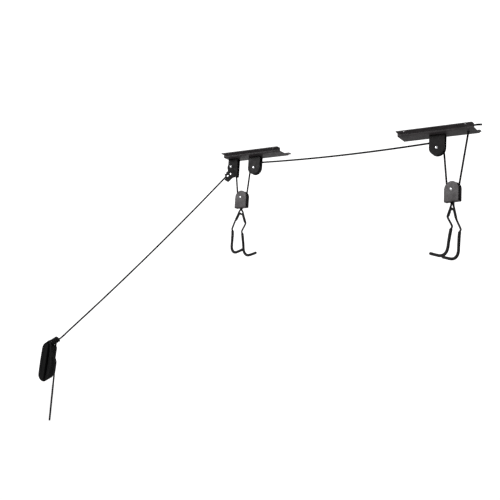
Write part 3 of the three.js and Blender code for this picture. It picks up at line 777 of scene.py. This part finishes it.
def make_anchor():
    """The rope's other end: up through the web, round in a flat spiral and out past the channel."""
    x = ANCHOR_X
    route = [(x, 0, -12), (x, 0, -9.6), (x - 1.4, 0.8, -7.2)]
    for i in range(SPIRAL_POINTS):
        a = math.radians(SPIRAL_START + SPIRAL_STEP * i)
        reach = SPIRAL_RADIUS + SPIRAL_GROWTH * i
        route.append((x + reach * math.cos(a), reach * math.sin(a), SPIRAL_Z))
    route += [
        (x + 1, -12.9, -6.1), (x + 7, -15, -5.9), (x + 13, -18.4, -4.8), (x + 19, -21.2, -3.6),
        (x + 25, -22.4, -3), (x + 31, -22, -3), (x + 36, -20.6, -3), (x + 40, -19.2, -3.1),
    ]
    piece, _ = rope("rope_anchor_turn_and_end", route)
    dress(piece, ROPE_WEAVE, "braided_rope", "rope_anchor_knot")
    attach(piece, "ceiling_frame")


make_reeving()
make_anchor()


# ---- ceiling brackets ------------------------------------

RIVET_X = 8.5
RIVET_HOLE = 2.5
LOCK_TOP_X = -83
CHANNEL = {
    "half_length": 105, "half_width": 43.5, "wall_y": 26, "depth": 11, "sheet": 2, "bend": 2.2,
    "corner": 3.5,
}
FLANGE_HOLE = {"x": 84, "y": 35, "radius": 3.6}
ANCHOR_HOLE = 3.6

# How far a cutting tool reaches from the middle of a piece, past its faces.
BEYOND = 20


def steel_piece(piece, node, material, body="ceiling_frame"):
    soften(piece, 0.3)
    dress(piece, material, "powder_coated_steel", node)
    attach(piece, body)


def make_channel(name, x, web_holes, node):
    """A hat section, its flanges against the ceiling and its web hanging between two side walls."""
    length, width, wall = CHANNEL["half_length"], CHANNEL["half_width"], CHANNEL["wall_y"]
    flange, web = -CHANNEL["sheet"] / 2, CHANNEL["sheet"] / 2 - CHANNEL["depth"]
    left = [(-width, flange), (-wall, flange), (-wall, web)]
    corners = left + [(-y, z) for y, z in left[::-1]]
    profile = sheet_profile(corners, CHANNEL["sheet"], CHANNEL["bend"])
    piece = prism(name, profile, "YZ", -length, length)
    corner = CHANNEL["corner"]
    cx, cy = length - corner, width - corner
    plan = []
    for across, out, start in ((cx, cy, 0), (-cx, cy, 90), (-cx, -cy, 180), (cx, -cy, 270)):
        plan += arc(across, out, corner, start, start + 90, 8)
    combine(piece, prism("tool", plan, "XY", -BEYOND, 5), "INTERSECT")
    for end in (-FLANGE_HOLE["x"], FLANGE_HOLE["x"]):
        for side in (-FLANGE_HOLE["y"], FLANGE_HOLE["y"]):
            combine(piece, bar("Z", FLANGE_HOLE["radius"], (end, side), -5, 3))
    for hole, radius in web_holes:
        combine(piece, bar("Z", radius, (hole, 0), -14, -7))
    steel_piece(place(piece, (x, 0, 0)), node, CHANNEL_COAT_PAINTED_LIGHTER)


def make_channels():
    """Bracket A carries pulley A and the lock. Bracket B carries pulley B and the rope's end."""
    pulley_holes = [(-RIVET_X, RIVET_HOLE), (RIVET_X, RIVET_HOLE)]
    lock_holes = [(LOCK_TOP_X - RIVET_X, RIVET_HOLE), (LOCK_TOP_X + RIVET_X, RIVET_HOLE)]
    make_channel("ceiling_channel_a", 0, pulley_holes + lock_holes, "bracket_a_channel")
    anchor_hole = (ANCHOR_X - SPACING, ANCHOR_HOLE)
    make_channel("ceiling_channel_b", SPACING, [*pulley_holes, anchor_hole], "bracket_b_channel")


# ---- housings --------------------------------------------

HOUSING_BEND = 2.0
STRIP_HALF = 24
PIN_HOLE = 2.8
ROPE_WAY = 3.3
EYE_SLOT = {"radius": 4.5, "shift": 1.8}


def folded_strip(name, bend_z, open_z, low_x, high_x):
    """A strip folded into two cheeks, with its flat part at one height and its open side at another."""
    wall = HALF_DEPTH - SHEET / 2
    corners = [(-wall, open_z), (-wall, bend_z), (wall, bend_z), (wall, open_z)]
    return prism(name, sheet_profile(corners, SHEET, HOUSING_BEND), "YZ", low_x, high_x)


def make_pulley_housing(name, x, node):
    """A strip folded at the top, with cheeks that end in a half circle round the axle."""
    piece = folded_strip(name, HOUSING_TOP - SHEET / 2, -80, -STRIP_HALF, STRIP_HALF)
    outline = [(-HALF_WIDTH, 0), *arc(0, AXLE_Z, HALF_WIDTH, 180, 360, 40), (HALF_WIDTH, 0)]
    combine(piece, prism("tool", outline, "XZ", -BEYOND, BEYOND), "INTERSECT")
    combine(piece, bar("Y", AXLE_BORE, (0, AXLE_Z), -BEYOND, BEYOND))
    for side in (-RIVET_X, RIVET_X):
        combine(piece, bar("Z", RIVET_HOLE, (side, 0), -BEYOND, -8))
    steel_piece(place(piece, (x, 0, 0)), node, HOUSING_COAT_PAINTED_DARKER)


def curve_to(outline, control, end, count=8):
    """Adds a quadratic curve from an outline's last point."""
    first = outline[-1]
    for i in range(1, count + 1):
        t = i / count
        outline.append(tuple(
            (1 - t) ** 2 * a + 2 * t * (1 - t) * b + t * t * c for a, b, c in zip(first, control, end)
        ))


GUIDE_PIN = (-107.3, -57)
CAM_PIN = (-97, -67)
STOP_PIN = (-86.5, -61.5)


def lock_near_cheek():
    """The near cheek, with the arm that carries the guide pin, the cam and the stop."""
    outline = [(-99, 0), (-99, -45)]
    curve_to(outline, (-98.5, -52.5), (-104, -53))
    outline += arc(*GUIDE_PIN, 4.1, 90, 198, 12)
    outline += [(-109.5, -64), (-109.5, -76)]
    curve_to(outline, (-109.5, -78.5), (-107, -80))
    outline.append((-98.5, -85.5))
    curve_to(outline, (-95.5, -87.5), (-92.5, -85))
    outline += [(-79, -74.5), (-65, -72)]
    curve_to(outline, (-61.5, -71), (-61.5, -67))
    return [*outline, (-65, 0)]


def lock_far_cheek():
    """The far cheek, which holds the other end of the axle and stops short of the arm."""
    outline = [(-99, 0), (-99, -48)]
    curve_to(outline, (-98, -57), (-89, -57.5))
    outline += [(-81, -60), (-78, -68)]
    curve_to(outline, (-77, -71), (-73, -71))
    outline.append((-69, -71))
    curve_to(outline, (-65, -70.5), (-65, -66))
    return [*outline, (-65, 0)]


def make_lock_housing():
    """A strip folded at the top, with two unlike cheeks and a way through for the hand line."""
    piece = folded_strip("rope_lock_housing", HOUSING_TOP - SHEET / 2, -95, -115, -55)
    kept = prism("kept", lock_near_cheek(), "XZ", -BEYOND, -5.5)
    top_plate = [(-99, 0), (-99, -30), (-65, -30), (-65, 0)]
    combine(kept, prism("tool", top_plate, "XZ", -5.6, 5.6), "UNION")
    combine(kept, prism("tool", lock_far_cheek(), "XZ", 5.5, BEYOND), "UNION")
    combine(piece, kept, "INTERSECT")
    combine(piece, bar("Y", AXLE_BORE, LOCK_AXLE, -BEYOND, BEYOND))
    for pin in (GUIDE_PIN, CAM_PIN, STOP_PIN):
        combine(piece, bar("Y", PIN_HOLE, pin, -BEYOND, 0))
    for side in (-RIVET_X, RIVET_X):
        combine(piece, bar("Z", RIVET_HOLE, (LOCK_TOP_X + side, 0), -BEYOND, -8))
    way = spaced(np.array(pull_line()[:2]), 4)
    combine(piece, tube("tool", way, ROPE_WAY, 32))
    steel_piece(piece, "lock_housing", LOCK_COAT_PAINTED_DARKER)


def make_block_housing(number):
    """A strip folded at the bottom, with arched cheeks and a slot for the hook's eye."""
    block = BLOCKS[number]
    piece = folded_strip(
        f"block_{number}_shell", BLOCK_BOTTOM + SHEET / 2, 30, -STRIP_HALF, STRIP_HALF)
    outline = [(HALF_WIDTH, -50), *arc(0, 0, HALF_WIDTH, 0, 180, 40), (-HALF_WIDTH, -50)]
    combine(piece, prism("tool", outline, "XZ", -BEYOND, BEYOND), "INTERSECT")
    combine(piece, bar("Y", AXLE_BORE, (0, 0), -BEYOND, BEYOND))
    shift, radius = EYE_SLOT["shift"], EYE_SLOT["radius"]
    slot = arc(shift, 0, radius, -90, 90, 16) + arc(-shift, 0, radius, 90, 270, 16)
    combine(piece, prism("tool", slot, "XY", BLOCK_BOTTOM - 2, BLOCK_BOTTOM + 4))
    place(piece, block["axle"], block["yaw"])
    steel_piece(piece, f"block_{number}_housing", BLOCK_COAT_PAINTED_LIGHTER, f"block_{number}")


make_channels()
make_pulley_housing("pulley_a_shell", 0, "pulley_a_housing")
make_pulley_housing("pulley_b_shell", SPACING, "pulley_b_housing")
make_lock_housing()
for block_number in BLOCKS:
    make_block_housing(block_number)


# ---- rivets, axles, pins and the cam ---------------------

HEAD_RIM = 0.35
HEAD_STEPS = 8


def dome(radius, height, base, rising=True):
    """Points of a domed head's edge from its rim to its top, or from its top to its rim."""
    sign = 1 if rising else -1
    points = []
    for i in range(HEAD_STEPS + 1):
        a = math.radians(90 * i / HEAD_STEPS)
        rise = HEAD_RIM + (height - HEAD_RIM) * math.sin(a)
        points.append((radius * math.cos(a), base + sign * rise))
    points[-1] = (0.0, points[-1][1])
    return [(radius, base), *points] if rising else [*points[::-1], (radius, base)]


def zinc_piece(piece, node, body="ceiling_frame"):
    dress(piece, ZINC, "zinc_plated_steel", node)
    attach(piece, body)


def make_top_rivets(label, x):
    """Two rivets that join a housing's top plate to the web."""
    for word, side in (("left", -RIVET_X), ("right", RIVET_X)):
        profile = [(0, -14.4), (2.9, -14.4), (3.2, -14.1), (3.2, -13.4), (2.2, -13.4), (2.2, -8.7)]
        profile += dome(4, 1.6, -8.7)
        rivet = lathe(f"{label}_top_rivet_{word}", profile, "Z", (x + side, 0, 0))
        zinc_piece(rivet, f"{label}_rivet_{word}")


def make_axle(name, centre, node, body="ceiling_frame", yaw=0.0):
    """A pin with a domed head on each side, across both cheeks."""
    face = HALF_DEPTH + GAP
    profile = dome(4.4, 2.2, -face, rising=False) + [(3, -face), (3, face)] + dome(4.4, 2.2, face)
    zinc_piece(lathe(name, profile, "Y", centre, 64, yaw), node, body)


def make_arm_pin(name, centre, node):
    """A pin in the lock's arm, with its domed head on the near side."""
    face = HALF_DEPTH + GAP
    profile = dome(3.8, 1.6, -face, rising=False)
    profile += [(2.5, -face), (2.5, 3.5), (3.4, 3.5), (3.4, 4.6), (3.1, 4.8), (0, 4.8)]
    x, z = centre
    zinc_piece(lathe(name, profile, "Y", (x, 0, z)), node)


def make_cam():
    """The cam that nips the hand line against the guide pin."""
    outline = arc(0, 0, 5, -27, 207, 32) + arc(0, -11, 2.2, 180, 360, 14)
    piece = prism("rope_lock_cam", outline, "XZ", -6.3, 3.2)
    combine(piece, bar("Y", PIN_HOLE, (0, 0), -BEYOND, BEYOND))
    place(piece, (CAM_PIN[0], 0, CAM_PIN[1]))
    soften(piece, 0.4)
    dress(piece, ZINC, "zinc_plated_steel", "lock_cam")
    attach(piece, "lock_cam")


make_top_rivets("lock", LOCK_TOP_X)
make_top_rivets("pulley_a", 0)
make_top_rivets("pulley_b", SPACING)
make_axle("pulley_a_pin", (0, 0, AXLE_Z), "pulley_a_axle")
make_axle("pulley_b_pin", (SPACING, 0, AXLE_Z), "pulley_b_axle")
make_axle("lock_sheave_pin", (LOCK_AXLE[0], 0, LOCK_AXLE[1]), "lock_axle")
for block_number, block in BLOCKS.items():
    make_axle(f"block_{block_number}_pin", block["axle"], f"block_{block_number}_axle",
              f"block_{block_number}", block["yaw"])
make_arm_pin("rope_guide_pin", GUIDE_PIN, "lock_guide_pin")
make_arm_pin("cam_pivot_pin", CAM_PIN, "lock_cam_pin")
make_arm_pin("cam_stop_pin", STOP_PIN, "lock_stop_pin")
make_cam()


# ---- sheaves ---------------------------------------------

RIM_HEIGHT = 3
GROOVE_PLAY = 0.35
GROOVE_STEPS = 12


def make_sheave(name, centre, pitch, node, yaw=0.0):
    """A moulded wheel with a round groove, turning on its hub."""
    rim = pitch + RIM_HEIGHT
    groove = ROPE / 2 + GROOVE_PLAY
    half = [
        (AXLE_BORE, -6.3), (7.2, -6.3), (7.5, -6.0), (7.5, -3.9), (8.1, -3.4), (rim - 3, -3.4),
        (rim - 2.4, -4.0), (rim - 0.9, -4.2), (rim - 0.2, -4.0), (rim, -3.5),
        (rim - 0.25, -groove - 0.1),
    ]
    round_bottom = []
    for i in range(1, GROOVE_STEPS):
        a = math.pi * i / GROOVE_STEPS
        round_bottom.append((pitch - groove * math.sin(a), -groove * math.cos(a)))
    profile = half + round_bottom + [(r, -h) for r, h in half[::-1]]
    piece = lathe(name, profile, "Y", centre, 72, yaw)
    dress(piece, NYLON, "nylon_sheave", node)
    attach(piece, node)


make_sheave("grooved_wheel_a", (0, 0, AXLE_Z), PITCH, "pulley_a_sheave")
make_sheave("grooved_wheel_b", (SPACING, 0, AXLE_Z), PITCH, "pulley_b_sheave")
make_sheave("grooved_wheel_lock", (LOCK_AXLE[0], 0, LOCK_AXLE[1]), LOCK_PITCH, "lock_sheave")
for block_number, block in BLOCKS.items():
    make_sheave(f"grooved_wheel_{block_number}", block["axle"], PITCH, f"block_{block_number}_sheave",
                block["yaw"])


# ---- hooks -----------------------------------------------

HOOK_LEG = [
    (0, 6.6, 9), (0, 15, 24.5), (0.3, 22.5, 38), (0.2, 24.7, 43), (-1.8, 25, 48), (-10.8, 23.6, 65),
    (-12.6, 23.4, 69.5), (-11.6, 23.4, 73.5), (-9.8, 23.6, 77), (-8.4, 24.2, 86), (-6, 27, 110),
    (-4.4, 28.7, 128), (-1, 29.5, 137.5), (6.5, 30.2, 144.5), (15, 30.7, 146), (30, 31.8, 142.8),
    (41, 32.6, 139.6),
]
SLEEVE_START = 8
EYE = {"radius": 4.6, "rise": 6.2}
WIRE_RADIUS = 2.8
WIRE_STEP = 0.9
SLEEVE_RADIUS = 4.2
SLEEVE_MOUTH = 3.8
SLEEVE_PAST_TIP = 1.2
SLEEVE_STEP = 0.8
SLEEVE_SIDES = 24
TIE_RADIUS = 2.4
TIE_STEP = 0.7
TIE_SIDES = 18
TIE_HALF = [(0, 20), (1.6, 19), (3.4, 17.2), (5.4, 17.3), (8.7, 22.5), (12.8, 30), (18.3, 40), (19.8, 43.2)]


def hook_wire_points():
    """From the near tip up to the eye inside the block, round it and down to the far tip."""
    near = [(across, -out, -drop) for across, out, drop in HOOK_LEG[::-1]]
    far = [(across, out, -drop) for across, out, drop in HOOK_LEG]
    up = [(1.3, -3, -5), (3.0, -0.3, -0.9), (3.1, 0, 1.2)]
    down = [(-x, -y, z) for x, y, z in up[::-1]]
    eye = [(x, 0, z) for x, z in arc(0, EYE["rise"], EYE["radius"], -35, 215, 10)]
    return near + up + eye + down + far


def tie_points():
    """Up one side of the fork, across it and down the other."""
    far = [(0, out, -drop) for out, drop in TIE_HALF]
    return [(0, -out, -drop) for out, drop in TIE_HALF[:0:-1]] + far


def hang_hook(points, number):
    """Turns a hook's own points into place below its block."""
    block = BLOCKS[number]
    x, y, z = block["axle"]
    bottom = (x, y, z + BLOCK_BOTTOM)
    return [turned((u * block["tips"], v, w), block["hook_yaw"], bottom) for u, v, w in points]


def hook_piece(piece, material, slot, node, number):
    dress(piece, material, slot, node)
    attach(piece, f"hook_{number}")


def swelling(along, height, centre, width):
    """A smooth rise round one place on a line."""
    return height * np.exp(-(((along - centre) / width) ** 2))


def make_sleeve(name, leg, node, number):
    """Dipped rubber over a leg's lower end: a rolled lip at the top and a full round tip."""
    leg = np.array(leg)
    onward = leg[-1] - leg[-2]
    tip = leg[-1] + SLEEVE_PAST_TIP * onward / np.linalg.norm(onward)
    line = spline([*leg, tip], SLEEVE_STEP)
    along = np.arange(len(line)) * SLEEVE_STEP
    radius = SLEEVE_RADIUS + 0.12 * np.sin(along / 9.0) + swelling(along, 0.35, 1.4, 1.1)
    radius[along < 0.5] = SLEEVE_MOUTH
    radius += swelling(along[-1] - along, 0.15, 3.0, 3.0)
    piece = tube(name, line, np.repeat(radius[:, None], SLEEVE_SIDES, axis=1), SLEEVE_SIDES, cap=0.9)
    hook_piece(piece, RUBBER, "rubber_sleeve", node, number)


def make_hook(number):
    """A bent wire, the tie welded into its fork, and a sleeve on each leg."""
    points = hang_hook(hook_wire_points(), number)
    wire = tube(f"hook_{number}_bent_wire", spline(points, WIRE_STEP), WIRE_RADIUS, 20)
    hook_piece(wire, WIRE_COAT, "hook_wire", f"hook_{number}_wire", number)
    line = spline(hang_hook(tie_points(), number), TIE_STEP)
    count = np.arange(len(line))
    from_end = np.minimum(count, count[::-1]) * TIE_STEP
    radius = TIE_RADIUS - swelling(from_end, 0.9, 0, 3.5)
    radii = np.repeat(radius[:, None], TIE_SIDES, axis=1)
    tie = tube(f"hook_{number}_welded_tie", line, radii, TIE_SIDES)
    hook_piece(tie, WIRE_COAT, "hook_wire", f"hook_{number}_tie", number)
    covered = len(HOOK_LEG) - SLEEVE_START
    near, far = points[:covered][::-1], points[-covered:]
    make_sleeve(f"hook_{number}_dip_near", near, f"hook_{number}_sleeve_near", number)
    make_sleeve(f"hook_{number}_dip_far", far, f"hook_{number}_sleeve_far", number)


for block_number in BLOCKS:
    make_hook(block_number)


# ---- wall cleat ------------------------------------------

# Half width and half length, and how far from the hank's middle each part starts and ends,
# towards the wall.
CLEAT_BASE = {"size": (10, 48), "reach": (10.8, 15.8)}
CLEAT_CORE = {"size": (4.4, 42), "reach": (-13.8, 11.8)}
CLEAT_HORNS = {"size": (6.5, 52), "reach": (-16.8, -10.8)}
SCREW_HOLE = {"z": 41.5, "radius": 2.6}


def stadium(half_width, half_length):
    """An outline with straight sides and round ends."""
    straight = half_length - half_width
    return arc(0, straight, half_width, 0, 180, 24) + arc(0, -straight, half_width, 180, 360, 24)


def cleat_part(name, part):
    return prism(name, stadium(*part["size"]), "XZ", *part["reach"])


def make_cleat():
    """A base plate on the wall, a core through the hank and a pair of horns in front of it."""
    piece = cleat_part("cleat_base_and_horns", CLEAT_BASE)
    for end in (-SCREW_HOLE["z"], SCREW_HOLE["z"]):
        combine(piece, bar("Y", SCREW_HOLE["radius"], (0, end), 5, BEYOND))
    combine(piece, cleat_part("tool", CLEAT_CORE), "UNION")
    combine(piece, cleat_part("tool", CLEAT_HORNS), "UNION")
    place(piece, HANK, HANK_TILT, "Y")
    soften(piece, 0.9, 3)
    dress(piece, CLEAT_NYLON, "cleat_plastic", "wall_cleat")
    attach(piece, "ceiling_frame")


make_cleat()


# ---- floor, world and light ------------------------------

FLOOR_Z = -3000
STAGE_REACH = 40000
FLOOR_GLOW = 0.75
BACKDROP_GLOW = 1.0
WORLD_STRENGTH = 0.32


def glowing(name, strength):
    n = Nodes(name)
    n.set("Base Color", (0.92, 0.92, 0.92, 1))
    n.set("Roughness", 0.9)
    n.set("Specular IOR Level", 0.0)
    n.set("Emission Color", (1, 1, 1, 1))
    n.set("Emission Strength", strength)
    return n.material


def make_stage_piece(piece, strength):
    """A pale surface that shows behind the rack, but doesn't light it."""
    piece.data.materials.append(glowing(piece.name + "_paint", strength))
    piece.visible_diffuse = False
    piece.visible_glossy = False
    piece.visible_shadow = False


def make_stage():
    """A floor clear of the lowered hooks, and a round backdrop."""
    far = STAGE_REACH
    corners = [(x, y, FLOOR_Z) for x, y in ((-far, -far), (far, -far), (far, far), (-far, far))]
    floor = mesh_object("studio_floor", corners, [(0, 1, 2, 3)], smooth=False)
    make_stage_piece(floor, FLOOR_GLOW)
    half_circle = arc(0, 0, far, -90, 90, 24)
    # Both ends lie exactly on the axis, so that the turned surface closes there.
    half_circle[0] = (0.0, -far)
    half_circle[-1] = (0.0, far)
    make_stage_piece(lathe("studio_backdrop", half_circle, "Z", (0, 0, 0)), BACKDROP_GLOW)


def make_world(strength):
    world = bpy.data.worlds.new("pale_studio")
    world.use_nodes = True
    background = world.node_tree.nodes["Background"]
    background.inputs["Color"].default_value = (1, 1, 1, 1)
    background.inputs["Strength"].default_value = strength
    bpy.context.scene.world = world


def make_light(name, place_at, target, size, power):
    """A rectangular lamp: its place, what it points at and its size in metres, and its watts."""
    data = bpy.data.lights.new(name, "AREA")
    data.shape = "RECTANGLE"
    data.size, data.size_y = size
    data.energy = power
    light = bpy.data.objects.new(name, data)
    light.location = place_at
    direction = Vector(target) - Vector(place_at)
    light.rotation_euler = direction.to_track_quat("-Z", "Y").to_euler()
    bpy.context.scene.collection.objects.link(light)


make_stage()
make_world(WORLD_STRENGTH)
make_light("soft_key", (-1.5, -2.6, 0.9), (0.25, 0, -0.15), (1.5, 1.1), 60)
make_light("soft_fill_below", (0.9, -1.6, -2.2), (0.1, 0, -0.2), (1.6, 1.6), 19)
make_light("soft_back_low", (-1.2, 1.9, -0.85), (0.2, 0, -0.05), (1.5, 1.1), 2.2)
make_light("soft_back", (0.4, 3.0, 0.6), (0.1, 0, -0.3), (1.8, 1.2), 22)
bpy.context.scene.view_settings.view_transform = "Standard"
